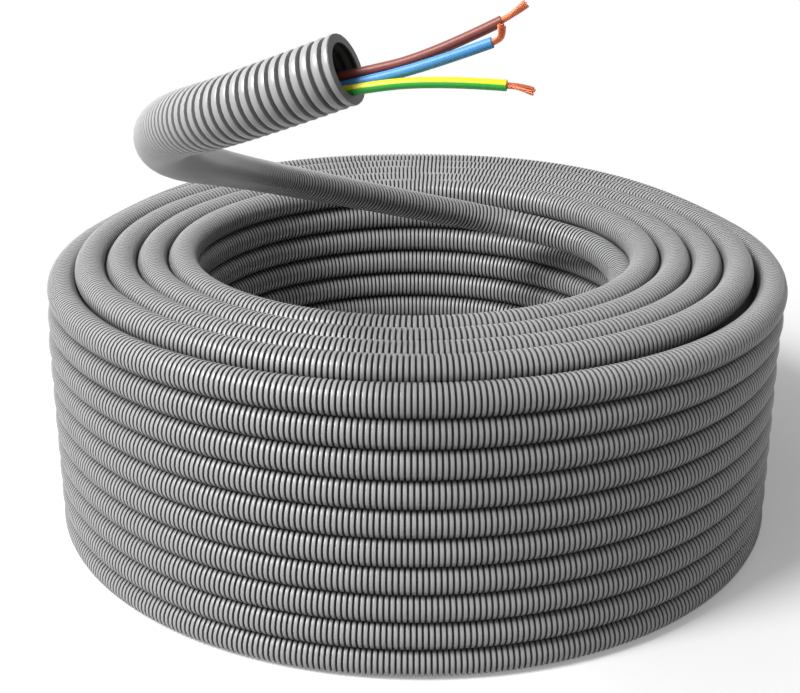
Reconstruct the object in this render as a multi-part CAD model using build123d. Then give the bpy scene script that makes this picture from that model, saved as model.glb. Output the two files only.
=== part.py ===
"""Corrugated conduit, pre-wired: a coil of flexible plastic conduit lying flat.

Five rings of ten turns lie round an open bore. The inner end of the tube leaves
the bore's wall under the top turn, bends across the bore and reaches forward over
the coil, where its open corrugated mouth shows three stripped wires.

Millimetres. Z is up, the coil's axis is Z, the floor is Z = 0, and the free
end's mouth faces the +X side, in front of the coil (-Y).
"""
import os
from math import cos, radians, sin, tan

from build123d import *

# Tube
TUBE_OD = 20.0            # over the crests of the corrugation
TUBE_ID = 14.8            # through the grooves, where the wires run
TUBE_WALL = 0.6           # thickness of the corrugated wall
RIB_PITCH = 3.3           # crest to crest
RIB_CREST = 2.0           # length of a crest's flat top

# Coil
RINGS = 5                 # turns side by side, from the bore outwards
ROWS = 10                 # turns one above the other
BORE_TURN_RADIUS = 156.4  # centre line of the innermost turn
RING_GAP = 0.4            # air between neighbouring rings
ROW_NESTING = 1.1         # how far one turn's ribs sink into the row below
CORE_SHARE = 0.43         # how far the hidden turns' core fills the clefts, in diameters
TURN_SIDES = 8            # flats that stand for a turn's round section
END_SIDES = 12            # flats round the raised end
WIRE_SIDES = 8            # flats round a wire

# Raised end
END_PEEL_FROM = -45.0     # degrees round the coil where the end leaves the wall
END_STEP = 30.0           # degrees between the corners of the climbing turn
END_CLIMB = (-19.0, -15.0, -11.0)
END_PEEL_STEPS = 2        # steps over which the end comes out of the bore's wall
MOUTH_RUN = 38.2          # last straight of the route, from its bend's corner
MOUTH_AXIS = Vector(0.872, -0.310, 0.370).normalized()
# from the coil's axis and its top to the route's corners, chosen by eye
END_REACH = [
    (104.0, 74.0, -19.7),
    (54.0, 86.0, -11.4),
    (6.0, 56.0, 5.9),
    (-50.0, 2.0, 32.2),
    (-98.0, -70.0, 61.9),
    (-107.8, -197.1, 99.5),
    (-102.0, -339.6, 139.0),
    (-94.2, -442.7, 169.5),
    (-81.1, -509.8, 191.3),
    (-57.1, -548.9, 204.2),
]
CORNER_SHARE = 0.45       # share of the shorter run that a bend may take up
BORED_LENGTHS = 4         # lengths and bends with an open bore, back from the mouth

# Wires
WIRE_OD = 3.0             # over the insulation
CONDUCTOR_OD = 1.6        # twisted copper
CONDUCTOR_SLACK = 0.05    # between copper and insulation, on the radius
WIRE_SEAT = 0.4           # between a wire and the bore's wall, at the mouth
WIRE_MIDDLE = -60.0       # degrees from level where the middle one lies, -90 the lowest
WIRE_FAN = 35.0           # degrees between neighbouring wires at the mouth
WIRE_INSIDE = 20.0        # length of wire held inside the mouth
WIRE_RISE = 3.0           # how far off the wall they all lie that far inside
# outside the mouth: points along its axis, up across it and to its back
WIRE_ROUTES = {
    "yellow_green": [(22.1, -5.0, 1.0), (39.9, -12.7, 3.0)],
    "blue": [(20.5, -1.8, 0.8), (39.0, -1.9, 3.0)],
    "brown": [(20.2, -2.4, 2.2), (41.7, -0.2, 6.0)],
}
STRIPPED = {"brown": 8.0, "blue": 6.5, "yellow_green": 7.5}
COPPER_SEATED = 5.0       # length of copper modelled inside the insulation


# Worked out
RING_PITCH = TUBE_OD + RING_GAP
ROW_PITCH = TUBE_OD - ROW_NESTING
COIL_HEIGHT = (ROWS - 1) * ROW_PITCH + TUBE_OD
TOP_TURN_Z = COIL_HEIGHT - TUBE_OD / 2
COIL_MID_RADIUS = BORE_TURN_RADIUS + (RINGS - 1) * RING_PITCH / 2


def bend_radii(points):
    """Largest radius each corner of a route may take, in order along it."""
    radii = []
    for before, corner, after in zip(points, points[1:], points[2:]):
        run_in, run_out = corner - before, after - corner
        turn = radians(run_in.get_angle(run_out))
        radii.append(CORNER_SHARE * min(run_in.length, run_out.length) / tan(turn / 2))
    return radii


def frames(points):
    """A plane square to each run of a route, carried round the bends untwisted."""
    planes = [Plane(points[0], z_dir=points[1] - points[0])]
    for before, corner, after in zip(points, points[1:], points[2:]):
        run_in, run_out = corner - before, after - corner
        hinge = Axis((0, 0, 0), run_in.cross(run_out))
        x_dir = planes[-1].x_dir.rotate(hinge, run_in.get_angle(run_out))
        planes.append(Plane(corner, x_dir=x_dir, z_dir=run_out))
    return planes


def flats(diameter, sides):
    """A round section drawn with that many flats, as wide across as the round."""
    return RegularPolygon(diameter / 2 / cos(radians(180 / sides)), sides)


def straight(plane, start, end, section):
    """A section extruded between two points of a run."""
    here = Plane(start, x_dir=plane.x_dir, z_dir=plane.z_dir)
    return extrude(here * section, amount=(end - start).length)


def rod(points, section, last=0, short=0.0):
    """A rod along a route: straight lengths joined by tangent bends.

    last keeps only that many lengths and bends, counted back from the end;
    short is left off the last straight length.
    """
    lengths, here = [], points[0]
    planes = frames(points)
    for plane, onward, corner, radius in zip(planes, planes[1:], points[1:], bend_radii(points)):
        turn = plane.z_dir.get_angle(onward.z_dir)
        setback = radius * tan(radians(turn) / 2)
        hinge = plane.z_dir.cross(onward.z_dir).normalized()
        start = corner - plane.z_dir * setback
        lengths.append(straight(plane, here, start, section))
        square = Plane(start, x_dir=plane.x_dir, z_dir=plane.z_dir) * section
        lengths.append(revolve(square, Axis(start + hinge.cross(plane.z_dir) * radius, hinge), turn))
        here = corner + onward.z_dir * setback
    lengths.append(straight(planes[-1], here, points[-1] - planes[-1].z_dir * short, section))
    return Part() + lengths[-last:]


def print_bends(name, points):
    """Print the radii of a route's bends."""
    print(name, "bend radii mm:", ", ".join(f"{radius:.0f}" for radius in bend_radii(points)))


def coil():
    """The wound turns: one turned solid with its bore."""
    turn = Rot(0, 0, 180 / TURN_SIDES) * flats(TUBE_OD, TURN_SIDES)
    turns = GridLocations(RING_PITCH, ROW_PITCH, RINGS, ROWS)
    core = Rectangle((RINGS - 1) * RING_PITCH + RING_PITCH / 4,
                     (ROWS - 1) * ROW_PITCH + CORE_SHARE * TUBE_OD)
    section = Pos(COIL_MID_RADIUS, COIL_HEIGHT / 2) * (core + turns * turn)
    return revolve(Plane.XZ * section, axis=Axis.Z)


def end_points():
    """The raised end's corners, from its own turn to the mouth."""
    points = []
    corner_out = 1 / cos(radians(END_STEP / 2))
    for step, climb in enumerate(END_CLIMB):
        angle = radians(END_PEEL_FROM + step * END_STEP)
        inwards = RING_PITCH * min(step / END_PEEL_STEPS, 1)
        radius = (BORE_TURN_RADIUS - inwards) * corner_out
        points.append(Vector(radius * cos(angle), radius * sin(angle), TOP_TURN_Z + climb))
    points += [Vector(x, y, COIL_HEIGHT + z) for x, y, z in END_REACH]
    return points


def mouth_plane():
    """Centre of the open end; Z leaves it, Y points up across it, X to its back."""
    centre = end_points()[-1] + MOUTH_AXIS * MOUTH_RUN
    sideways = Vector(0, 0, 1).cross(MOUTH_AXIS)
    return Plane(origin=centre, x_dir=sideways, z_dir=MOUTH_AXIS)


def last_bend_setback(points):
    """Length of the mouth's straight that the last bend takes up."""
    turn = radians((points[-2] - points[-3]).get_angle(points[-1] - points[-2]))
    return bend_radii(points)[-1] * tan(turn / 2)


def corrugated_end(plane, ribs):
    """The last ribs up to the mouth, outside and in, with a full rim round the mouth."""
    crest, groove = TUBE_OD, TUBE_ID + 2 * TUBE_WALL
    outline = []
    for rib in range(ribs):
        front = -rib * RIB_PITCH
        outline += [(front, crest), (front - RIB_CREST, crest),
                    (front - (RIB_CREST + RIB_PITCH) / 2, groove)]
    outline.append((-ribs * RIB_PITCH, crest))
    inline = [(z, diameter - 2 * TUBE_WALL) for z, diameter in outline]
    inline[:1] = [(0, TUBE_ID), (-TUBE_WALL, TUBE_ID), (-1.5 * TUBE_WALL, crest - 2 * TUBE_WALL)]
    outside, inside = [
        loft([plane * Pos(0, 0, z) * flats(diameter, END_SIDES) for z, diameter in profile],
             ruled=True)
        for profile in (outline, inline)]
    return outside - inside


def conduit():
    """Coil, climbing turn and corrugated mouth, all one tube."""
    points = [*end_points(), mouth_plane().origin]
    print_bends("raised end", points)
    ribs = int((MOUTH_RUN - last_bend_setback(points)) / RIB_PITCH)
    ribbed = ribs * RIB_PITCH
    climbing = rod(points, flats(TUBE_OD, END_SIDES), short=ribbed)
    bore = rod(points, flats(TUBE_ID, END_SIDES), last=BORED_LENGTHS, short=ribbed)
    carried = frames(points)[-1]
    mouth = Plane(points[-1], x_dir=carried.x_dir, z_dir=carried.z_dir)
    return coil() + climbing - bore + corrugated_end(mouth, ribs)


def wire(name, place):
    """One insulated wire and its stripped copper, lying low in the bore, to its back."""
    plane = mouth_plane()
    seat = TUBE_ID / 2 - WIRE_SEAT - WIRE_OD / 2
    middle = radians(WIRE_MIDDLE)
    angle = middle + radians(place * WIRE_FAN)
    side, up = seat * cos(angle), seat * sin(angle)
    inside = (-WIRE_INSIDE, -WIRE_RISE * sin(middle), -WIRE_RISE * cos(middle))
    offsets = [inside, (0, 0, 0), *WIRE_ROUTES[name]]
    points = [plane.from_local_coords(Vector(side + s, up + u, a)) for a, u, s in offsets]
    print_bends(name + " wire", points)
    tip, way = points[-1], (points[-1] - points[-2]).normalized()
    bottom, bare_end = tip - way * COPPER_SEATED, tip + way * STRIPPED[name]
    square = frames(points)[-1]
    socket = straight(square, bottom, tip, flats(CONDUCTOR_OD + 2 * CONDUCTOR_SLACK, WIRE_SIDES))
    copper = straight(square, bottom, bare_end, flats(CONDUCTOR_OD, WIRE_SIDES))
    return rod(points, flats(WIRE_OD, WIRE_SIDES)) - socket, copper


def main():
    """Build every piece and write it under its own name."""
    os.makedirs("parts", exist_ok=True)
    pieces = {"conduit": conduit()}
    for place, name in zip((-1, 0, 1), WIRE_ROUTES):
        insulation, copper = wire(name, place)
        pieces[name + "_wire_insulation"] = insulation
        pieces[name + "_wire_copper"] = copper
    for name, shape in pieces.items():
        print(name, len(shape.solids()), "solid,", f"{shape.volume / 1000:.2f} cm3")
        export_step(shape, f"parts/{name}.step")


main()
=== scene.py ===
"""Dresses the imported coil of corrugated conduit: ribbed turns, raised end, stripped wires, studio.

Metres, in the CAD frame: Z is up on the coil's axis, the floor is Z = 0, and the raised end
reaches towards -Y, over the coil and towards the camera.
"""
import logging
from dataclasses import dataclass, field
from enum import Enum
from math import cos, pi, radians, sin
from typing import Any, NamedTuple

import bmesh
import bpy
import numpy as np
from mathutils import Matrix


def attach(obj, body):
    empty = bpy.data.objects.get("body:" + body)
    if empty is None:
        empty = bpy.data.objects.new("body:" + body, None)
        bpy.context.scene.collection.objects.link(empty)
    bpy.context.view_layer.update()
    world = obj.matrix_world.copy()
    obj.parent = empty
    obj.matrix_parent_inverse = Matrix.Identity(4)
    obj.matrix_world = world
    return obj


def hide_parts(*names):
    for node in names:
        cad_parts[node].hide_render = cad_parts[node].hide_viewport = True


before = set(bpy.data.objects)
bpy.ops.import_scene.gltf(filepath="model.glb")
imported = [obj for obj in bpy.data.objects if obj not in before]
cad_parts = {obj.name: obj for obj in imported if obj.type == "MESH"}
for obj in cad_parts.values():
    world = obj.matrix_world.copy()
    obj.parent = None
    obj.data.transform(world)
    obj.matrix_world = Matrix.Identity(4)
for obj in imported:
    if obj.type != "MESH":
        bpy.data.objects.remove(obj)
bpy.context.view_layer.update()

LOG = logging.getLogger("conduit_coil")
UV_MAP = "along_and_around"
Colour = tuple[float, float, float]
Point = tuple[float, float, float]
Pair = tuple[float, float]


def linear(colour: Colour, share: float = 1.0) -> tuple[float, float, float, float]:
    """Turn a colour as a screen shows it into the linear colour that a shader takes.

    Args:
        colour: Red, green and blue, 0 to 1, as read off a picture.
        share: What the linear colour is multiplied by.

    Returns:
        The linear colour with an alpha of 1.
    """
    c = np.asarray(colour, float)
    out = share * np.where(c <= 0.04045, c / 12.92, ((c + 0.055) / 1.055) ** 2.4)
    return (float(out[0]), float(out[1]), float(out[2]), 1.0)


def grey(level: float) -> tuple[float, float, float, float]:
    """A linear grey with an alpha of 1."""
    return (level, level, level, 1.0)


def smooth_step(low: float, high: float, x: np.ndarray) -> np.ndarray:
    """Rise from 0 at low to 1 at high: 3 t squared less 2 t cubed."""
    t = np.clip((x - low) / (high - low), 0, 1)
    return t * t * (3 - 2 * t)


def placed(name: str, data: bpy.types.ID) -> bpy.types.Object:
    """Make an object of that data and link it into the scene."""
    made = bpy.data.objects.new(name, data)
    bpy.context.scene.collection.objects.link(made)
    return made


# Shader graphs


class Signal:
    """A shader socket that carries a number and can be used in Python sums."""

    def __init__(self, graph: "Graph", socket: bpy.types.NodeSocket) -> None:
        """Wrap a socket of a graph."""
        self.graph = graph
        self.socket = socket

    def _maths(self, operation: str, first: Any, second: Any = 0.0) -> "Signal":
        """Add a Math node.

        Args:
            operation: The node's operation.
            first: A number or a signal.
            second: A number or a signal.

        Returns:
            The node's result.
        """
        made = self.graph.node("ShaderNodeMath", {"operation": operation}, {0: first, 1: second})
        return Signal(self.graph, made.outputs[0])

    def __add__(self, other: Any) -> "Signal":
        """Sum."""
        return self._maths("ADD", self, other)

    __radd__ = __add__

    def __sub__(self, other: Any) -> "Signal":
        """Difference."""
        return self._maths("SUBTRACT", self, other)

    def __rsub__(self, other: Any) -> "Signal":
        """Difference, with the signal last."""
        return self._maths("SUBTRACT", other, self)

    def __mul__(self, other: Any) -> "Signal":
        """Product."""
        return self._maths("MULTIPLY", self, other)

    __rmul__ = __mul__

    def __lt__(self, other: Any) -> "Signal":
        """1 where the signal is the smaller, else 0."""
        return self._maths("LESS_THAN", self, other)

    def __gt__(self, other: Any) -> "Signal":
        """1 where the signal is the larger, else 0, as in number < signal."""
        return self._maths("GREATER_THAN", self, other)

    def turn(self) -> "Signal":
        """What is left of the signal after its whole turns."""
        return self._maths("FRACT", self)

    def either(self, other: Any) -> "Signal":
        """The larger of the two."""
        return self._maths("MAXIMUM", self, other)

    def under(self, other: Any) -> "Signal":
        """The smaller of the two."""
        return self._maths("MINIMUM", self, other)


class Graph:
    """The node tree of one material or of the world."""

    def __init__(self, owner: bpy.types.ID) -> None:
        """Start that material's or world's tree afresh."""
        owner.use_nodes = True
        self.owner = owner
        self.tree = owner.node_tree
        self.tree.nodes.clear()

    def node(self, kind: str, settings: dict[str, Any] | None = None,
             inputs: dict[Any, Any] | None = None) -> bpy.types.Node:
        """Add any node.

        Args:
            kind: The node's type.
            settings: Its own settings, set first.
            inputs: A number, colour, signal or socket for each input, by name or number.

        Returns:
            The node.
        """
        made = self.tree.nodes.new(kind)
        for key, value in (settings or {}).items():
            setattr(made, key, value)
        for key, value in (inputs or {}).items():
            if isinstance(value, Signal):
                value = value.socket
            if isinstance(value, bpy.types.NodeSocket):
                self.tree.links.new(value, made.inputs[key])
            else:
                made.inputs[key].default_value = value
        return made

    def object_point(self) -> bpy.types.NodeSocket:
        """Object coordinates, in metres."""
        return self.node("ShaderNodeTexCoord").outputs["Object"]

    def noise(self, scale: float, detail: float = 3.0, roughness: float = 0.5) -> Signal:
        """Noise on object coordinates.

        Args:
            scale: Cells to the metre.
            detail: Octaves.
            roughness: Strength of the finer octaves.

        Returns:
            A number round 0.5.
        """
        made = self.node("ShaderNodeTexNoise", None, {
            "Vector": self.object_point(), "Scale": scale, "Detail": detail, "Roughness": roughness})
        return Signal(self, made.outputs[0])

    def around(self) -> tuple[Signal, Signal]:
        """The piece's UV map, as its place along in metres and its place around in turns."""
        uv = self.node("ShaderNodeUVMap", {"uv_map": UV_MAP}).outputs[0]
        split = self.node("ShaderNodeSeparateXYZ", None, {0: uv})
        return Signal(self, split.outputs[0]), Signal(self, split.outputs[1])

    def drawn_lines(self, cells: Pair) -> Signal:
        """Fine lines along a piece, as noise on its UV map.

        Args:
            cells: Cells to the metre along the piece, and cells around it.

        Returns:
            A number round 0.5.
        """
        along, around = self.around()
        place = self.node("ShaderNodeCombineXYZ", None, {0: along * cells[0], 1: around * cells[1]})
        made = self.node("ShaderNodeTexNoise", {"noise_dimensions": "2D"}, {
            "Vector": place.outputs[0], "Scale": 1.0, "Detail": 2.0})
        return Signal(self, made.outputs[0])

    def attribute(self, name: str) -> Signal:
        """A number that the mesh holds at each point."""
        made = self.node("ShaderNodeAttribute", {"attribute_name": name})
        return Signal(self, made.outputs["Fac"])

    def blend(self, share: Any, first: Any, second: Any, way: str = "MIX") -> bpy.types.NodeSocket:
        """Mix two colours.

        Args:
            share: How much of the second, as a number or a signal.
            first: A linear colour or a socket.
            second: A linear colour or a socket.
            way: The Mix node's blend type.

        Returns:
            The mixed colour's socket.
        """
        made = self.node("ShaderNodeMix", {"data_type": "RGBA", "blend_type": way},
                         {0: share, 6: first, 7: second})
        return made.outputs[2]

    def relief(self, height: Signal, distance: float, strength: float) -> bpy.types.NodeSocket:
        """A bump of that height map, in metres from its lowest to its highest."""
        made = self.node("ShaderNodeBump", None,
                         {"Height": height, "Distance": distance, "Strength": strength})
        return made.outputs["Normal"]

    def white_rays(self) -> Signal:
        """1 for the rays that see a white background: camera, glossy and transmission rays."""
        path = self.node("ShaderNodeLightPath").outputs
        seen = Signal(self, path["Is Camera Ray"])
        for ray in ("Is Glossy Ray", "Is Transmission Ray"):
            seen = seen.either(Signal(self, path[ray]))
        return seen

    def mixed(self, share: Signal, first: bpy.types.Node, second: bpy.types.Node) -> bpy.types.Node:
        """Mix two shaders, with that share of the second."""
        return self.node("ShaderNodeMixShader", None,
                         {0: share, 1: first.outputs[0], 2: second.outputs[0]})

    def finish(self, shader: bpy.types.Node, output: str = "ShaderNodeOutputMaterial") -> bpy.types.ID:
        """Join the shader to an output node and hand over the material or the world."""
        self.node(output, None, {"Surface": shader.outputs[0]})
        return self.owner


# Finishes


@dataclass(frozen=True)
class ConduitPlastic:
    """Matte grey plastic of the corrugated tube, darker down in its grooves with dust and painted shade,
    and with painted shade where two turns touch.

    Attributes:
        colour: The crests' colour.
        groove_dust_and_shade_colour: The colour at the bottom of a groove, where dust and painted shade
            darken it.
        groove_onset: How fast that sets in below the crest.
        groove_dust: Its least share, and what dust adds.
        cleft_shade_share: How much of the colour the painted shade leaves where two turns touch.
        cleft_shade_dust: That painted shade's least share, and what dust adds.
        clouds: The darkest and the palest clouds, as shares of the crests' colour.
        cloud_scale: Clouds to the metre.
        dust_scale: Patches of dust to the metre.
        gloss: Roughness of the smoothest and of the dullest places.
        dull_dirt: What the groove and cleft marks add to the roughness.
        specular: Level of the highlights.
        grain_scale: Grains of the moulded surface to the metre.
        grain: Height of a grain, in metres, and how strongly it shows.
    """

    colour: Colour = (0.70, 0.70, 0.70)
    groove_dust_and_shade_colour: Colour = (0.27, 0.27, 0.27)
    groove_onset: float = 8.0
    groove_dust: Pair = (0.82, 0.3)
    cleft_shade_share: float = 0.14
    cleft_shade_dust: Pair = (0.9, 0.2)
    clouds: Pair = (0.93, 1.06)
    cloud_scale: float = 9.0
    dust_scale: float = 160.0
    gloss: Pair = (0.32, 0.42)
    dull_dirt: float = 0.2
    specular: float = 0.9
    grain_scale: float = 900.0
    grain: Pair = (0.00004, 0.35)

    def make(self) -> bpy.types.Material:
        """Build the material.

        Returns:
            A plastic with cloudy colour, a fine moulded grain, grooves darkened with dust and painted
            shade, and painted shade where turns touch.
        """
        g = Graph(bpy.data.materials.new("conduit_plastic"))
        cloud = g.noise(self.cloud_scale, detail=4.0, roughness=0.6)
        grain, dust = g.noise(self.grain_scale, detail=2.0), g.noise(self.dust_scale)
        tone = g.blend(cloud, *(linear(self.colour, share) for share in self.clouds))
        least, more = self.groove_dust
        # Groove darkening, dust and painted shade together: full a little below the crest, varied by
        # dust.
        groove_shade = (self.groove_onset * g.attribute("groove")).under(1.0) * (least + more * dust)
        least, more = self.cleft_shade_dust
        # Painted shade where two turns touch, varied by dust.
        cleft_shade = g.attribute("cleft_shade") * (least + more * dust)
        smooth, dull = self.gloss
        rough = smooth + (dull - smooth) * dust + self.dull_dirt * groove_shade + self.dull_dirt * cleft_shade
        plain = g.blend(groove_shade, tone, linear(self.groove_dust_and_shade_colour))
        return g.finish(g.node("ShaderNodeBsdfPrincipled", None, {
            "Base Color": g.blend(cleft_shade, plain, grey(self.cleft_shade_share), "MULTIPLY"),
            "Roughness": rough, "Specular IOR Level": self.specular,
            "Normal": g.relief(grain, *self.grain)}))


@dataclass(frozen=True)
class Insulation:
    """Glossy PVC of a wire, with faint die lines along it.

    Attributes:
        name: The material's name.
        colour: The main colour.
        stripe: The second colour, which takes the other half of the way round, or None.
        stripe_from: Where round the wire the second colour starts, in turns.
        wander: How far the die lines move the stripe's edges, in turns.
        smudged: What the darkest smudge leaves of the main colour.
        smudge_scale: Smudges to the metre.
        gloss: Roughness of the smoothest places, and what the dullest add.
        specular: Level of the highlights.
        die_lines: Cells of the die lines to the metre, and around the wire.
        line: Their height, in metres, and how strongly they show.
    """

    name: str
    colour: Colour
    stripe: Colour | None = None
    stripe_from: float = 0.0
    wander: float = 0.02
    smudged: float = 0.9
    smudge_scale: float = 240.0
    gloss: Pair = (0.34, 0.16)
    specular: float = 0.45
    die_lines: Pair = (30.0, 26.0)
    line: Pair = (0.00003, 0.3)

    def make(self) -> bpy.types.Material:
        """Build the material.

        Returns:
            A smooth plastic whose lines follow the wire.
        """
        g = Graph(bpy.data.materials.new(self.name))
        line, smudge = g.drawn_lines(self.die_lines), g.noise(self.smudge_scale)
        colour = g.blend(smudge, linear(self.colour, self.smudged), linear(self.colour))
        if self.stripe is not None:
            edge = (line - 0.5) * self.wander
            second = (g.around()[1] - self.stripe_from + edge + 1.0).turn() < 0.5
            colour = g.blend(second, colour, linear(self.stripe))
        smooth, more = self.gloss
        return g.finish(g.node("ShaderNodeBsdfPrincipled", None, {
            "Base Color": colour, "Roughness": smooth + more * smudge,
            "Specular IOR Level": self.specular, "Normal": g.relief(line, *self.line)}))


@dataclass(frozen=True)
class BareCopper:
    """Bright drawn copper strands, a little browner where they have dulled.

    Attributes:
        bright: Colour of clean copper.
        dull: Colour of dulled copper.
        patch_scale: Dulled patches to the metre.
        metallic: How much of a metal it is.
        gloss: Roughness of clean copper, and what dulling adds.
        drawing_lines: Cells of the drawing lines to the metre, and around a strand.
        line: Their height, in metres, and how strongly they show.
    """

    bright: Colour = (0.95, 0.60, 0.45)
    dull: Colour = (0.72, 0.36, 0.24)
    patch_scale: float = 900.0
    metallic: float = 0.9
    gloss: Pair = (0.3, 0.2)
    drawing_lines: Pair = (60.0, 9.0)
    line: Pair = (0.00002, 0.4)

    def make(self) -> bpy.types.Material:
        """Build the material.

        Returns:
            A metal with patches of dulling and drawing lines along each strand.
        """
        g = Graph(bpy.data.materials.new("copper_strands"))
        patch, line = g.noise(self.patch_scale), g.drawn_lines(self.drawing_lines)
        clean, more = self.gloss
        return g.finish(g.node("ShaderNodeBsdfPrincipled", None, {
            "Base Color": g.blend(patch, linear(self.bright), linear(self.dull)),
            "Metallic": self.metallic, "Roughness": clean + more * patch,
            "Normal": g.relief(line, *self.line)}))


# Surfaces


@dataclass
class Skin:
    """Grids of points gathered into one mesh piece.

    Attributes:
        name: The piece's name.
        crease: Edges sharper than this stay sharp, in degrees.
        weld: Whether doubled points, as at a pole, are merged.
    """

    name: str
    crease: float = 38.0
    weld: bool = False
    _points: list[np.ndarray] = field(default_factory=list)
    _faces: list[np.ndarray] = field(default_factory=list)
    _uv: list[np.ndarray] = field(default_factory=list)
    _groove_shade: list[np.ndarray] = field(default_factory=list)
    _cleft_shade: list[np.ndarray] = field(default_factory=list)
    _count: int = 0

    def add(self, grid: np.ndarray, groove: np.ndarray | None = None,
            along: np.ndarray | None = None, loop_along: bool = False,
            cleft_shade: np.ndarray | None = None) -> None:
        """Add a surface that closes on itself the way round.

        Each quad joins point (i, j) to its neighbours (i + 1, j), (i + 1, j + 1) and (i, j + 1),
        and j runs on from the last column to the first. Its normal is the step along times the
        step around.

        Args:
            grid: Points, rows along the piece and columns round it.
            groove: How far down in a groove each row lies, 0 to 1; the finish paints it darker there as
                dust and painted shade.
            along: Each row's distance along the piece, for the UV map.
            loop_along: Whether the last row joins the first.
            cleft_shade: How near each column lies to where two turns touch, 0 to 1; the finish paints
                shade there.
        """
        rows, columns = grid.shape[:2]
        last = rows if loop_along else rows - 1
        i, j = np.meshgrid(np.arange(last), np.arange(columns), indexing="ij")
        on, over = (i + 1) % rows, (j + 1) % columns
        corners = [i * columns + j, on * columns + j, on * columns + over, i * columns + over]
        place = np.arange(rows) * 1.0 if along is None else along
        u = np.stack([place[i], place[on], place[on], place[i]], -1)
        v = np.stack([j, j, j + 1, j + 1], -1) / columns
        self._points.append(grid.reshape(-1, 3))
        self._faces.append(self._count + np.stack(corners, -1).reshape(-1, 4))
        self._uv.append(np.stack([u, v], -1).reshape(-1, 2))
        self._groove_shade.append(np.repeat(np.zeros(rows) if groove is None else groove, columns))
        self._cleft_shade.append(np.tile(np.zeros(columns) if cleft_shade is None else cleft_shade, rows))
        self._count += rows * columns

    def mesh(self) -> bpy.types.Mesh:
        """Put the gathered grids into one mesh, with its UV map and its two attributes.

        Returns:
            The mesh, smooth apart from its creases.
        """
        points, faces = np.concatenate(self._points), np.concatenate(self._faces)
        mesh = bpy.data.meshes.new(self.name)
        mesh.vertices.add(len(points))
        mesh.vertices.foreach_set("co", points.astype(np.float32).ravel())
        mesh.loops.add(faces.size)
        mesh.loops.foreach_set("vertex_index", faces.astype(np.int32).ravel())
        mesh.polygons.add(len(faces))
        mesh.polygons.foreach_set("loop_start", np.arange(0, faces.size, 4, dtype=np.int32))
        mesh.update(calc_edges=True)
        mesh.uv_layers.new(name=UV_MAP).data.foreach_set(
            "uv", np.concatenate(self._uv).astype(np.float32).ravel())
        for word, values in (("groove", self._groove_shade), ("cleft_shade", self._cleft_shade)):
            mesh.attributes.new(word, "FLOAT", "POINT").data.foreach_set(
                "value", np.concatenate(values).astype(np.float32))
        if self.weld:
            work = bmesh.new()
            work.from_mesh(mesh)
            bmesh.ops.remove_doubles(work, verts=work.verts, dist=1e-7)
            work.to_mesh(mesh)
            work.free()
        mesh.shade_smooth()
        mesh.set_sharp_from_angle(angle=radians(self.crease))
        return mesh

    def piece(self, material: bpy.types.Material, slot: str, *nodes: str) -> bpy.types.Object:
        """Make the object, dress it and tie it to the CAD model.

        Args:
            material: Its finish.
            slot: The record's material slot; not used.
            nodes: CAD nodes that it replaces.

        Returns:
            The object, riding on the one body.
        """
        mesh = self.mesh()
        mesh.materials.append(material)
        made = placed(self.name, mesh)
        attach(made, "root")
        if nodes:
            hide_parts(*nodes)
        mesh.calc_loop_triangles()
        LOG.info("%s: %d triangles", self.name, len(mesh.loop_triangles))
        return made


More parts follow.
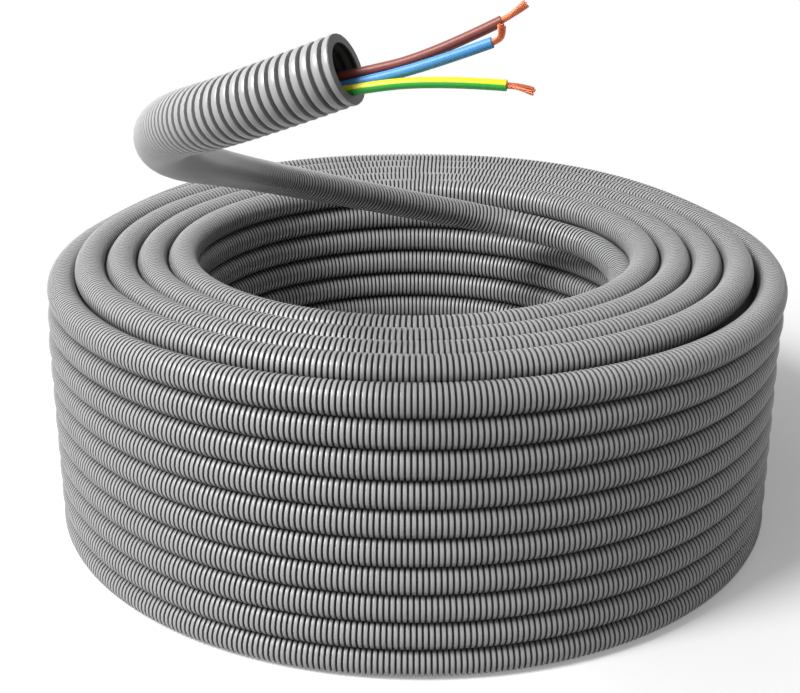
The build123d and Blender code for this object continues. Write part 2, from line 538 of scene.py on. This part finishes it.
@dataclass
class Line:
    """A smooth centre line, read from a NURBS spline through bends of a route.

    Attributes:
        controls: The spline's control points, in order.
        fineness: Points read on each stretch of the spline.
        points: The points read from the spline.
        reach: Each point's distance along the line.
    """

    controls: list[Point]
    fineness: int = 48
    points: np.ndarray = field(init=False)
    reach: np.ndarray = field(init=False)

    def __post_init__(self) -> None:
        """Read the spline's own points and their distances along it."""
        curve = bpy.data.curves.new("route", "CURVE")
        curve.dimensions = "3D"
        curve.resolution_u = self.fineness
        spline = curve.splines.new("NURBS")
        spline.points.add(len(self.controls) - 1)
        for point, place in zip(spline.points, self.controls):
            point.co = (*place, 1.0)
        spline.order_u = 3
        spline.use_endpoint_u = True
        holder = placed("route", curve)
        bpy.context.view_layer.update()
        read = bpy.data.meshes.new_from_object(holder)
        co = np.zeros(len(read.vertices) * 3)
        read.vertices.foreach_get("co", co)
        self.points = co.reshape(-1, 3)
        steps = np.linalg.norm(np.diff(self.points, axis=0), axis=1)
        self.reach = np.concatenate([[0.0], np.cumsum(steps)])
        bpy.data.meshes.remove(read)
        bpy.data.objects.remove(holder)
        bpy.data.curves.remove(curve)

    @property
    def length(self) -> float:
        """Length of the line, in metres."""
        return float(self.reach[-1])

    def at(self, distance: np.ndarray) -> np.ndarray:
        """Points at those distances along the line, which runs on straight past its ends."""
        inside = np.clip(distance, 0, self.length)
        here = np.stack([np.interp(inside, self.reach, axis) for axis in self.points.T], -1)
        first = self.points[1] - self.points[0]
        last = self.points[-1] - self.points[-2]
        for step, past in ((last, distance > inside), (first, distance < inside)):
            here += np.outer(distance - inside, step / np.linalg.norm(step)) * past[:, None]
        return here

    def frames(self, distance: np.ndarray, reach: float = 0.0008) -> tuple[np.ndarray, ...]:
        """Directions along, upwards across and to the back of the line.

        Along is the step from just before to just behind a place. Back is Z crossed with along,
        and up is square to both.

        Args:
            distance: Places along the line.
            reach: Half the step that gives the direction.

        Returns:
            Three arrays of unit vectors: along, up and back.
        """
        way = self.at(distance + reach) - self.at(distance - reach)
        way /= np.linalg.norm(way, axis=1, keepdims=True)
        back = np.cross([0.0, 0.0, 1.0], way)
        back /= np.linalg.norm(back, axis=1, keepdims=True)
        return way, np.cross(way, back), back

    def carry(self, distance: np.ndarray, radius: np.ndarray, sides: int) -> np.ndarray:
        """A round profile carried along the line.

        A point is the line's place, plus radius times (cos a of up plus sin a of back), where a
        goes once round. Its order makes the outside face out.

        Args:
            distance: Each row's distance along the line.
            radius: Each row's radius.
            sides: Points round a row.

        Returns:
            The grid of points.
        """
        a = np.linspace(0, 2 * pi, sides, endpoint=False)[None, :, None]
        _, up, back = self.frames(distance)
        return (self.at(distance)[:, None] + radius[:, None, None]
                * (np.cos(a) * up[:, None] + np.sin(a) * back[:, None]))


# Tube and coil


@dataclass(frozen=True)
class Tube:
    """Sizes of the corrugated tube.

    Attributes:
        crest: Radius over the crests.
        groove: Radius in the grooves.
        bore: Radius of the bore, between the grooves' backs.
        wall: Thickness of the wall.
        pitch: Crest to crest.
        flat: Share of the pitch that a crest takes up.
        crown: How much higher a crest is in its middle.
    """

    crest: float = 0.010
    groove: float = 0.0081
    bore: float = 0.0074
    wall: float = 0.0006
    pitch: float = 0.0033
    flat: float = 0.57
    crown: float = 0.0002


class Arc(NamedTuple):
    """An arc of a turn's section, in degrees from straight outwards, upwards first.

    Attributes:
        start: Where it starts.
        end: Where it ends.
        steps: Flats that it is made of.
        touch_from: Where a neighbour touches the turn, near the arc's start.
        touch_to: Where one touches it, near the arc's end.
    """

    start: float
    end: float
    steps: int
    touch_from: float
    touch_to: float


class Face(Enum):
    """The arc that shows of a turn, by the turn's place in the coil."""

    OUTER = Arc(-84, 84, 8, -71, 71)
    OUTER_TOP = Arc(-84, 205, 13, -71, 165)
    OUTER_BOTTOM = Arc(-190, 84, 12, -180, 71)
    TOP = Arc(-20, 200, 10, 0, 180)
    TOP_SECOND = Arc(-45, 200, 11, -28, 180)
    BOTTOM = Arc(-195, 15, 7, -180, 0)
    BORE = Arc(96, 264, 8, 109, 251)
    BORE_TOP = Arc(-20, 264, 13, 0, 251)
    BORE_BOTTOM = Arc(96, 375, 12, 109, 360)


@dataclass
class Coil:
    """Five rings of ten ribbed turns; only the turns that show are modelled.

    Attributes:
        tube: The tube's sizes.
        plastic: The conduit's finish.
        rings: Turns side by side.
        rows: Turns one above the other.
        bore_radius: Centre line of the innermost turn.
        ring_pitch: From one ring to the next.
        row_pitch: From one row to the next.
        sag: How far the outermost top turn has sunk beside its neighbour.
        held_up: Sines of the direction between which that dies away, at the back.
        lean: How far that turn has sprung out on the right.
        leaning: Cosines of the angle from lean_towards between which that sets in.
        lean_towards: Direction in which it has sprung out furthest, in radians.
        nest: How far it has slipped in under its neighbour elsewhere.
        shifted_rows: Rows over which lean and nest die away downwards.
        cleft_shade_reach: Degrees past a touching place between which the painted shade fades.
        hidden_steps: Steps round the ring that stands for the hidden turns.
    """

    tube: Tube
    plastic: bpy.types.Material
    rings: int = 5
    rows: int = 10
    bore_radius: float = 0.1564
    ring_pitch: float = 0.0204
    row_pitch: float = 0.0189
    sag: float = 0.0092
    held_up: Pair = (0.30, 0.97)
    lean: float = 0.0018
    leaning: Pair = (0.1, 0.9)
    lean_towards: float = 0.2
    nest: float = 0.0020
    shifted_rows: int = 2
    cleft_shade_reach: Pair = (-4.0, 46.0)
    hidden_steps: int = 180

    @property
    def top(self) -> float:
        """Height of the top turns' centre line."""
        return self.tube.crest + (self.rows - 1) * self.row_pitch

    def ring_radius(self, ring: int) -> float:
        """Radius of a ring's centre line; ring 0 is the outermost."""
        return self.bore_radius + (self.rings - 1 - ring) * self.ring_pitch

    def centre(self, ring: int, row: int, theta: np.ndarray) -> tuple[np.ndarray, np.ndarray]:
        """Where a turn's centre line runs.

        Radius is the ring's own. The outermost ring's gains the lean on the right and loses the
        nest where its top turn sags elsewhere, and both die away in the rows below. Height is
        shared out evenly between the bottom turn and the top one, which sags in front and at
        the sides in the outermost ring.

        Args:
            ring: From 0, outermost, inwards.
            row: From 0, topmost, downwards.
            theta: Directions round the coil.

        Returns:
            Radii and heights.
        """
        radius, top = self.ring_radius(ring) + 0 * theta, self.top + 0 * theta
        if ring == 0:
            sunk = 1 - smooth_step(*self.held_up, np.sin(theta))
            right = smooth_step(*self.leaning, np.cos(theta - self.lean_towards))
            moved = max(0, self.shifted_rows - row) / self.shifted_rows
            top = top - self.sag * sunk
            radius = radius + (self.lean * right - self.nest * sunk * (1 - right)) * moved
        share = (self.rows - 1 - row) / (self.rows - 1)
        return radius, self.tube.crest + (top - self.tube.crest) * share

    def turn(self, skin: Skin, ring: int, row: int, face: Face) -> None:
        """Add one ribbed turn to a piece.

        A point is the centre line's place at theta plus the ribbed radius times (cos a outwards
        plus sin a upwards). A whole number of ribs goes round: the radius rises to a low crown
        in the middle of each crest and falls to the groove in a V. Every other row and ring
        starts half a rib on, so that the ribs of turns above each other interlock. The arc that
        shows is closed at the back by a flat.

        Args:
            skin: The piece that takes the turn.
            ring: From 0, outermost.
            row: From 0, topmost.
            face: The arc that shows.
        """
        arc, t, radius = face.value, self.tube, self.ring_radius(ring)
        ribs = round(2 * pi * radius / t.pitch)
        share = np.array([0.0, t.flat / 2, t.flat, (1 + t.flat) / 2])
        height = np.array([t.crest - t.crown, t.crest, t.crest - t.crown, t.groove])
        # The groove row gets the groove mark, which the finish paints darker as dust and painted shade.
        groove_shade = np.array([0.0, 0.0, 0.0, 1.0])
        offset = 0.5 * ((row + ring) % 2)
        theta = 2 * pi * (np.arange(ribs)[:, None] + share + offset).ravel() / ribs
        across, level = self.centre(ring, row, theta)
        angle = np.linspace(arc.start, arc.end, arc.steps + 1)
        near = np.minimum(angle - arc.touch_from, arc.touch_to - angle)
        a = np.radians(angle)[None, :]
        r = np.tile(height, ribs)[:, None]
        out, up = across[:, None] + r * np.cos(a), level[:, None] + r * np.sin(a)
        grid = np.stack([out * np.cos(theta)[:, None], out * np.sin(theta)[:, None], up], -1)
        # Painted shade, strongest where a neighbouring turn touches and fading past it.
        cleft_shade = 1 - smooth_step(*self.cleft_shade_reach, near)
        skin.add(grid, np.tile(groove_shade, ribs), radius * theta, loop_along=True, cleft_shade=cleft_shade)

    def wall(self, name: str, ring: int, top: Face, middle: Face, bottom: Face) -> tuple[Skin, Skin]:
        """The ten turns of the outside or of the bore, in two pieces.

        Args:
            name: Start of the pieces' names.
            ring: From 0, outermost.
            top: What shows of the top turn.
            middle: What shows of those between.
            bottom: What shows of the bottom turn.

        Returns:
            The upper and the lower rows.
        """
        upper, lower = Skin(name + "_upper_rows"), Skin(name + "_lower_rows")
        for row in range(self.rows):
            face = {0: top, self.rows - 1: bottom}.get(row, middle)
            self.turn(upper if row < self.rows // 2 else lower, ring, row, face)
        return upper, lower

    def ends(self) -> tuple[Skin, Skin]:
        """The rings between the outside and the bore, on the coil's top and on its bottom."""
        top, bottom = Skin("coil_top_rings"), Skin("coil_bottom_rings")
        for ring in range(1, self.rings - 1):
            self.turn(top, ring, 0, Face.TOP if ring > 1 else Face.TOP_SECOND)
            self.turn(bottom, ring, self.rows - 1, Face.BOTTOM)
        return top, bottom

    def hidden_turns(self) -> Skin:
        """The turns inside the coil, as one ring through the shown turns' centre lines.

        Returns:
            A ring whose corners run along the centre lines of the corner turns and of the second ring's
            top turn, with a sunken corner between that and the outermost one. It is painted dark all
            over as painted shade.
        """
        skin = Skin("coil_hidden_turns", crease=20.0)
        theta = np.linspace(0, 2 * pi, self.hidden_steps, endpoint=False)
        last, low = self.rings - 1, self.rows - 1
        corners = [self.centre(ring, row, theta) for ring, row in
                   ((0, low), (0, 0), (1, 0), (last, 0), (last, low))]
        outermost, second = corners[1], corners[2]
        corners.insert(2, ((outermost[0] + second[0]) / 2, outermost[1] - self.tube.crest))
        grid = np.stack([np.stack([r * np.cos(theta), r * np.sin(theta), z], -1)
                         for r, z in corners], 1)
        # Groove and cleft marks at full strength all round: painted shade on the hidden ring.
        skin.add(grid, np.ones(len(theta)), loop_along=True, cleft_shade=np.ones(len(corners)))
        return skin

    def build(self) -> None:
        """Make the coil's pieces, each of them rows or rings that lie together."""
        outer = self.wall("coil_outer", 0, Face.OUTER_TOP, Face.OUTER, Face.OUTER_BOTTOM)
        bore = self.wall("coil_bore", self.rings - 1, Face.BORE_TOP, Face.BORE, Face.BORE_BOTTOM)
        for skin in (*outer, *bore, *self.ends(), self.hidden_turns()):
            skin.piece(self.plastic, "conduit_plastic", "conduit")


@dataclass
class RaisedEnd:
    """The inner end of the tube: it leaves the bore's wall, crosses the bore and reaches out.

    Attributes:
        tube: The tube's sizes.
        plastic: The conduit's finish.
        peel_from: Direction in which it leaves the wall, in degrees.
        step: Degrees between the climbing turn's control points.
        climb: Those points' heights over the top turn's centre line.
        inwards: How far it comes out of the bore's wall.
        peel_steps: Steps over which it comes out.
        reach: Control points of the stretch over the coil.
        axis: Direction in which the mouth faces.
        run: Last straight of the route.
        sides: Points round the tube.
        shown_ribs: Ribs whose inside is modelled behind the mouth.
        crest_rows: Rows over a crest, as shares of half its width from its middle.
        groove_floor: Where a groove's floor starts, past the crest, and ends, in pitches.
        groove_dust_and_shade: How dark a groove is painted near the mouth, dust and painted shade
            together.
        shade_gain: How many times that darkening gains towards the coil.
        shade_gain_from: Distances behind the mouth between which it gains it.
        inner_wide: How far within a crest its wide back starts and ends, in pitches.
        inner_narrow: Where a groove's back starts, past the crest, and ends, in pitches.
        lip: How much further back the wide stretches start.
        rim: How thick the mouth's flat rim is, in walls of the tube.
        rim_darkening: How much darker the rim is painted.
        inner_shade: How dark the inside is painted, as painted shade.
        plug: How far behind the last rib the inside is closed.
    """

    tube: Tube
    plastic: bpy.types.Material
    peel_from: float = -45.0
    step: float = 30.0
    climb: tuple[float, ...] = (-0.019, -0.015, -0.011)
    inwards: float = 0.0204
    peel_steps: int = 2
    reach: tuple[Point, ...] = (
        (0.1040, 0.0740, 0.1704), (0.0540, 0.0860, 0.1787), (0.0060, 0.0560, 0.1960),
        (-0.0500, 0.0020, 0.2223), (-0.0980, -0.0700, 0.2520), (-0.1078, -0.1971, 0.2896),
        (-0.1020, -0.3396, 0.3291), (-0.0942, -0.4427, 0.3596), (-0.0811, -0.5098, 0.3814),
        (-0.0571, -0.5489, 0.3943))
    axis: Point = (0.874899, -0.311031, 0.371230)
    run: float = 0.0382
    sides: int = 28
    shown_ribs: int = 7
    crest_rows: tuple[float, ...] = (-1.0, -0.6, 0.0, 0.6, 1.0)
    groove_floor: Pair = (0.07, 0.93)
    groove_dust_and_shade: float = 0.08
    shade_gain: float = 11.0
    shade_gain_from: Pair = (0.12, 0.30)
    inner_wide: float = 0.1
    inner_narrow: Pair = (0.02, 0.98)
    lip: float = 0.0007
    rim: float = 0.8
    rim_darkening: float = 0.3
    inner_shade: float = 0.8
    plug: float = 0.001

    def mouth(self) -> np.ndarray:
        """Centre of the open end."""
        return np.array(self.reach[-1]) + np.array(self.axis) * self.run

    def controls(self, turn_radius: float, top: float) -> list[Point]:
        """Control points of the centre line.

        Those of the climbing turn stand round a circle, each out by 1 over the cosine of half
        a step, so that the spline lies on the circle.

        Args:
            turn_radius: Centre line of the coil's innermost turn.
            top: Height of the top turns' centre line.

        Returns:
            The points, from the bore's wall to the mouth.
        """
        points = []
        for number, climb in enumerate(self.climb):
            a = radians(self.peel_from + number * self.step)
            inwards = self.inwards * min(number / self.peel_steps, 1)
            r = (turn_radius - inwards) / cos(radians(self.step / 2))
            points.append((r * cos(a), r * sin(a), top + climb))
        return [*points, *self.reach, tuple(self.mouth())]

    def outside(self, ribs: int) -> tuple[np.ndarray, ...]:
        """Rows over every rib, from the coil to the mouth.

        A crest's radius falls off from its middle by the crown times the square of the distance,
        and the groove behind it has a flat floor. The grooves are painted lighter near the mouth and
        darker towards the coil, with dust and painted shade.

        Args:
            ribs: Ribs in all.

        Returns:
            Each row's distance behind the mouth, radius and darkening, as dust and painted shade.
        """
        t, across = self.tube, np.array(self.crest_rows)
        past, until = self.groove_floor
        behind = np.concatenate([(across + 1) / 2 * t.flat, [t.flat + past, until]]) * t.pitch
        radii = np.concatenate([t.crest - t.crown * across ** 2, [t.groove, t.groove]])
        shade_and_dust = np.concatenate([0 * across, [self.groove_dust_and_shade, self.groove_dust_and_shade]])
        back = (np.arange(ribs)[:, None] * t.pitch + behind).ravel()[::-1]
        gain = 1 + self.shade_gain * smooth_step(*self.shade_gain_from, back)
        return back, np.tile(radii, ribs)[::-1], np.tile(shade_and_dust, ribs)[::-1] * gain

    def inside(self) -> tuple[np.ndarray, ...]:
        """Rows over the backs of the last ribs, wide behind a crest and narrow behind a groove.

        Returns:
            Each row's distance behind the mouth, and its radius.
        """
        t, (past, until) = self.tube, self.inner_narrow
        wide, narrow = t.crest - t.wall, t.bore
        behind = np.array([self.inner_wide, t.flat - self.inner_wide, t.flat + past, until]) * t.pitch
        behind[0] += self.lip
        back = (np.arange(self.shown_ribs)[:, None] * t.pitch + behind).ravel()
        return back, np.tile([wide, wide, narrow, narrow], self.shown_ribs)

    def build(self, turn_radius: float, top: float) -> Line:
        """Make the raised end with its open, ribbed mouth.

        The profile runs from a closed start, over every crest and groove to the mouth, across
        the mouth's flat rim, and back inside over the backs of the last ribs to a closed end.

        Args:
            turn_radius: Centre line of the coil's innermost turn.
            top: Height of the top turns' centre line.

        Returns:
            The centre line.
        """
        t, line = self.tube, Line(self.controls(turn_radius, top))
        back, outer_radius, shade_and_dust = self.outside(int(line.length / t.pitch))
        inner, inner_radius = self.inside()
        rim = np.array([0.0, self.rim * t.wall])
        end = inner[-1] + self.plug
        distance = line.length - np.concatenate([[back[0]], back, rim, inner, [end, end]])
        radius = np.concatenate([[0.0], outer_radius, [t.bore] * 2, inner_radius, [t.bore, 0.0]])
        # Darkening of each row: dust and painted shade in the grooves, painted shade inside the mouth
        # and at the closed ends, and a darker rim.
        groove = np.concatenate(
            [[1.0], shade_and_dust, [self.rim_darkening] * 2, np.full(len(inner), self.inner_shade), [1.0, 1.0]])
        groove[len(back)] = self.rim_darkening
        skin = Skin("raised_end", weld=True, crease=42.0)
        skin.add(line.carry(distance, radius, self.sides), groove, distance)
        skin.piece(self.plastic, "conduit_plastic", "conduit")
        return line


# Wires


@dataclass
class Wire:
    """One insulated wire that lies low in the bore, to its back, and fans out of the mouth.

    Attributes:
        name: The wire's name, as in its CAD nodes.
        place: Its place in the fan, from -1 in front to 1 behind.
        route: Control points outside the mouth: along its axis, up across it and to its back.
        curl: Control points of the copper's free end, past the insulation: along, up and back.
        finish: The insulation's finish.
        radius: Radius over the insulation.
        seat: How far from the mouth's centre it lies.
        middle: Where the middle wire lies across the mouth, in degrees up from straight back.
        fan: Degrees between neighbouring wires.
        inside: Length held inside the mouth.
        rise: How much further off the wall it lies at that depth.
        grid: Rows along the sleeve, and points round a row.
        bevel: Size of the edge where the sleeve is cut.
        socket: Radius of the hollow in the cut, at its mouth and at its bottom.
        socket_depth: Depth of that hollow.
        strand: Radius of a copper strand.
        strand_grid: Rows along a strand, and points round a row.
        strand_pitch: From one ring of strands to the next, in strand radii.
        layers: Strands in the middle, round it and round those.
        lay: Length in which the strands twist once round.
        seated: Length of copper modelled inside the sleeve.
        straight: How far before the cut the copper's last control point inside it lies.
        aimed_from: How far before the cut the wire's direction is read.
        uneven: How much shorter than the longest a strand may be.
        flare: How much the strands spread at the tip.
        flare_over: Shares of the length between which they spread.
        seed: Seed of the middle wire's random draws.
    """

    name: str
    place: int
    route: tuple[Point, ...]
    curl: tuple[Point, ...]
    finish: Insulation
    radius: float = 0.0015
    seat: float = 0.0055
    middle: float = -60.0
    fan: float = 35.0
    inside: float = 0.020
    rise: float = 0.003
    grid: tuple[int, int] = (90, 28)
    bevel: float = 0.0001
    socket: Pair = (0.00088, 0.00084)
    socket_depth: float = 0.003
    strand: float = 0.00017
    strand_grid: tuple[int, int] = (30, 7)
    strand_pitch: float = 2.02
    layers: tuple[int, ...] = (1, 6, 12)
    lay: float = 0.011
    seated: float = 0.005
    straight: float = 0.0005
    aimed_from: float = 0.0004
    uneven: float = 0.0009
    flare: float = 0.45
    flare_over: Pair = (0.55, 1.0)
    seed: int = 7

    def controls(self, end: RaisedEnd) -> list[Point]:
        """Control points of the wire's line, in the row frame."""
        axis, origin = np.array(end.axis), end.mouth()
        back = np.cross([0.0, 0.0, 1.0], axis)
        back /= np.linalg.norm(back)
        up = np.cross(axis, back)
        lowest = radians(self.middle)
        a = lowest + radians(self.place * self.fan)
        held = (-self.inside, -self.rise * sin(lowest), -self.rise * cos(lowest))
        high, rear = self.seat * sin(a), self.seat * cos(a)
        return [tuple(origin + axis * x + up * (high + u) + back * (rear + s))
                for x, u, s in (held, (0.0, 0.0, 0.0), *self.route)]

    def insulation(self, line: Line, material: bpy.types.Material) -> bpy.types.Object:
        """The sleeve: closed inside the conduit, cut square and hollow round the copper.

        Args:
            line: The wire's centre line.
            material: Its finish.

        Returns:
            The piece.
        """
        cut, bottom = line.length, line.length - self.socket_depth
        rows, sides = self.grid
        sleeve = np.linspace(0.0, cut - self.bevel, rows)
        distance = np.concatenate([[0.0], sleeve, [cut, cut, bottom, bottom]])
        radius = np.concatenate([[0.0], np.full(rows, self.radius),
                                 [self.radius - self.bevel, *self.socket, 0.0]])
        skin = Skin(self.name + "_insulation", weld=True, crease=35.0)
        skin.add(line.carry(distance, radius, sides), None, distance)
        return skin.piece(material, self.name + "_insulation", self.name + "_wire_insulation")

    def copper_line(self, line: Line) -> Line:
        """The copper's centre line, from inside the sleeve through its curl to its tip."""
        near = np.array([line.length - self.aimed_from])
        way, up, back = (axis[0] for axis in line.frames(near))
        tip = line.at(np.array([line.length]))[0]
        return Line([tuple(tip + way * x + up * u + back * s) for x, u, s in
                     ((-self.seated, 0.0, 0.0), (-self.straight, 0.0, 0.0), *self.curl)])

    def copper(self, line: Line, material: bpy.types.Material) -> bpy.types.Object:
        """Nineteen strands laid up in a twist: one, six round it and twelve round those.

        A strand's centre is the bundle's centre line plus its ring's radius times (cos b up plus
        sin b back), where b is its own start plus one turn for every length of lay. Towards the
        tip the rings widen a little.

        Args:
            line: The wire's centre line.
            material: The copper's finish.

        Returns:
            The piece.
        """
        core, (rows, sides) = self.copper_line(line), self.strand_grid
        skin = Skin(self.name + "_copper", weld=True, crease=60.0)
        seeded = np.random.default_rng(self.seed + self.place)
        for ring, count in enumerate(self.layers):
            for number in range(count):
                length = core.length - self.uneven * seeded.random()
                x = np.concatenate([[0.0], np.linspace(0.0, length, rows), [length]])
                r = np.concatenate([[0.0], np.full(rows, self.strand), [0.0]])
                flare = 1 + self.flare * smooth_step(*self.flare_over, x / core.length)
                b = 2 * pi * (number / count + x / self.lay) + ring
                _, high, rear = core.frames(x)
                shift = (ring * self.strand_pitch * self.strand * flare)[:, None] * (
                    np.cos(b)[:, None] * high + np.sin(b)[:, None] * rear)
                skin.add(core.carry(x, r, sides) + shift[:, None], None, x)
        return skin.piece(material, "copper", self.name + "_wire_copper")

    def build(self, end: RaisedEnd, copper: bpy.types.Material) -> None:
        """Args:
            end: The raised end that holds it.
            copper: The copper's finish.
        """
        controls = self.controls(end)
        line = Line(controls)
        sleeve = self.insulation(line, self.finish.make())
        strands = self.copper(line, copper)
        LOG.info("%s wire: %.4f m", self.name, line.length)


def wires() -> tuple[Wire, ...]:
    """The three wires in the mouth, from the front one to the back one."""
    return (
        Wire("yellow_green", -1, ((0.0221, -0.0050, 0.0010), (0.0399, -0.0127, 0.0030)),
             ((0.0037, 0.0, 0.0), (0.0075, -0.0012, 0.0)),
             Insulation("yellow_green_insulation", (0.25, 0.79, 0.31), (0.98, 0.93, 0.08), -0.21)),
        Wire("blue", 0, ((0.0205, -0.0018, 0.0008), (0.0390, -0.0019, 0.0030)),
             ((0.0019, 0.0001, -0.0006), (0.0035, 0.0012, -0.0016), (0.0043, 0.0040, -0.0020)),
             Insulation("blue_insulation", (0.33, 0.64, 0.94))),
        Wire("brown", 1, ((0.0202, -0.0024, 0.0022), (0.0417, -0.0002, 0.0060)),
             ((0.0040, 0.0004, 0.0), (0.008, 0.0013, 0.0)),
             Insulation("brown_insulation", (0.57, 0.29, 0.24))),
    )


# Studio


@dataclass
class Studio:
    """Camera, white floor and lights.

    Attributes:
        camera_at: The camera's place.
        pitch: How far down it looks, in degrees.
        lens: Focal length for a 36 mm sensor.
        key_at: Where the round key lamp hangs.
        key_aim: The point that it faces.
        key_size: Its diameter.
        key_power: Its power, in watts.
        fill_towards: Direction from the object to the sun that fills the shadows.
        fill_strength: That sun's strength.
        fill_width: Its angular diameter, in degrees.
        world_light: How strongly the world lights the object.
        floor_half: Half the floor's width.
        floor_bounce: The floor's colour for rays that carry light to the object.
        floor_paint: Its colour near the object, as seen.
        floor_glow: What it gives off there.
        floor_fades: Distances from the axis between which it turns to pure white.
    """

    camera_at: Point = (-0.0094, -0.9487, 0.480)
    pitch: float = 21.3
    lens: float = 65.16
    key_at: Point = (-1.66, -1.24, 2.20)
    key_aim: Point = (0.0, -0.05, 0.12)
    key_size: float = 1.00
    key_power: float = 84.0
    fill_towards: Point = (-0.56, -0.30, 0.77)
    fill_strength: float = 0.65
    fill_width: float = 90.0
    world_light: float = 0.06
    floor_half: float = 12.0
    floor_bounce: float = 0.3
    floor_paint: float = 0.95
    floor_glow: float = 0.25
    floor_fades: Pair = (0.36, 0.62)

    def camera(self) -> None:
        """Set up the camera at the photograph's viewing angle."""
        data = bpy.data.cameras.new("camera")
        data.lens, data.sensor_width, data.clip_start = self.lens, 36.0, 0.02
        made = placed("camera", data)
        made.location = self.camera_at
        made.rotation_euler = (radians(90 - self.pitch), 0, 0)
        bpy.context.scene.camera = made

    def lamp(self, data: bpy.types.Light, towards: np.ndarray) -> bpy.types.Object:
        """Hang a lamp and turn it to what it lights.

        Args:
            data: The lamp's light.
            towards: Direction from what it lights to the lamp.

        Returns:
            The lamp.
        """
        made = placed(data.name, data)
        flat = float(np.hypot(towards[0], towards[1]))
        made.rotation_euler = (pi / 2 - float(np.arctan2(towards[2], flat)), 0.0,
                               float(np.arctan2(towards[1], towards[0])) + pi / 2)
        return made

    def key(self) -> None:
        """The round lamp at the left that gives the highlights and the soft shadow."""
        data = bpy.data.lights.new("key", "AREA")
        data.shape, data.size, data.energy = "DISK", self.key_size, self.key_power
        self.lamp(data, np.array(self.key_at) - np.array(self.key_aim)).location = self.key_at

    def fill(self) -> None:
        """The broad sun that fills the shadows."""
        data = bpy.data.lights.new("fill", "SUN")
        data.energy, data.angle = self.fill_strength, radians(self.fill_width)
        self.lamp(data, np.array(self.fill_towards))

    def floor(self) -> None:
        """A white floor that stays white round the object and keeps its shadow."""
        mesh = bpy.data.meshes.new("floor")
        s = self.floor_half
        mesh.from_pydata([(-s, -s, 0), (s, -s, 0), (s, s, 0), (-s, s, 0)], [], [(0, 1, 2, 3)])
        made = placed("floor", mesh)
        g = Graph(bpy.data.materials.new("white_floor"))
        dim, paint = (g.node("ShaderNodeBsdfDiffuse", None, {"Color": grey(level)})
                      for level in (self.floor_bounce, self.floor_paint))
        glow, pure = (g.node("ShaderNodeEmission", None, {"Color": grey(1.0), "Strength": strength})
                      for strength in (self.floor_glow, 1.0))
        white = g.node("ShaderNodeAddShader", None, {0: paint.outputs[0], 1: glow.outputs[0]})
        reach = g.node("ShaderNodeVectorMath", {"operation": "LENGTH"}, {0: g.object_point()})
        fade = g.node("ShaderNodeMapRange", {"interpolation_type": "SMOOTHSTEP"}, {
            "Value": reach.outputs["Value"], "From Min": self.floor_fades[0],
            "From Max": self.floor_fades[1]})
        seen = g.mixed(Signal(g, fade.outputs[0]), white, pure)
        mesh.materials.append(g.finish(g.mixed(g.white_rays(), dim, seen)))

    def sky(self) -> None:
        """An even world that lights softly and shows white to the camera."""
        g = Graph(bpy.data.worlds.new("studio"))
        soft, white = (g.node("ShaderNodeBackground", None, {"Color": grey(1.0), "Strength": strength})
                       for strength in (self.world_light, 1.0))
        bpy.context.scene.world = g.finish(g.mixed(g.white_rays(), soft, white), "ShaderNodeOutputWorld")

    def build(self) -> None:
        """Set up the camera, lights, floor and world."""
        self.camera()
        self.key()
        self.fill()
        self.floor()
        self.sky()
        bpy.context.scene.view_settings.view_transform = "Standard"


def main() -> None:
    """Build the studio, the wires, the raised end and the coil, and log the lengths of the wires and the
    raised end.
    """
    logging.basicConfig(level=logging.INFO, format="%(message)s")
    Studio().build()
    tube, plastic, copper = Tube(), ConduitPlastic().make(), BareCopper().make()
    coil, end = Coil(tube, plastic), RaisedEnd(tube, plastic)
    for wire in wires():
        wire.build(end, copper)
    line = end.build(coil.bore_radius, coil.top)
    LOG.info("raised end: %.3f m", line.length)
    coil.build()


if __name__ == "__main__":
    main()
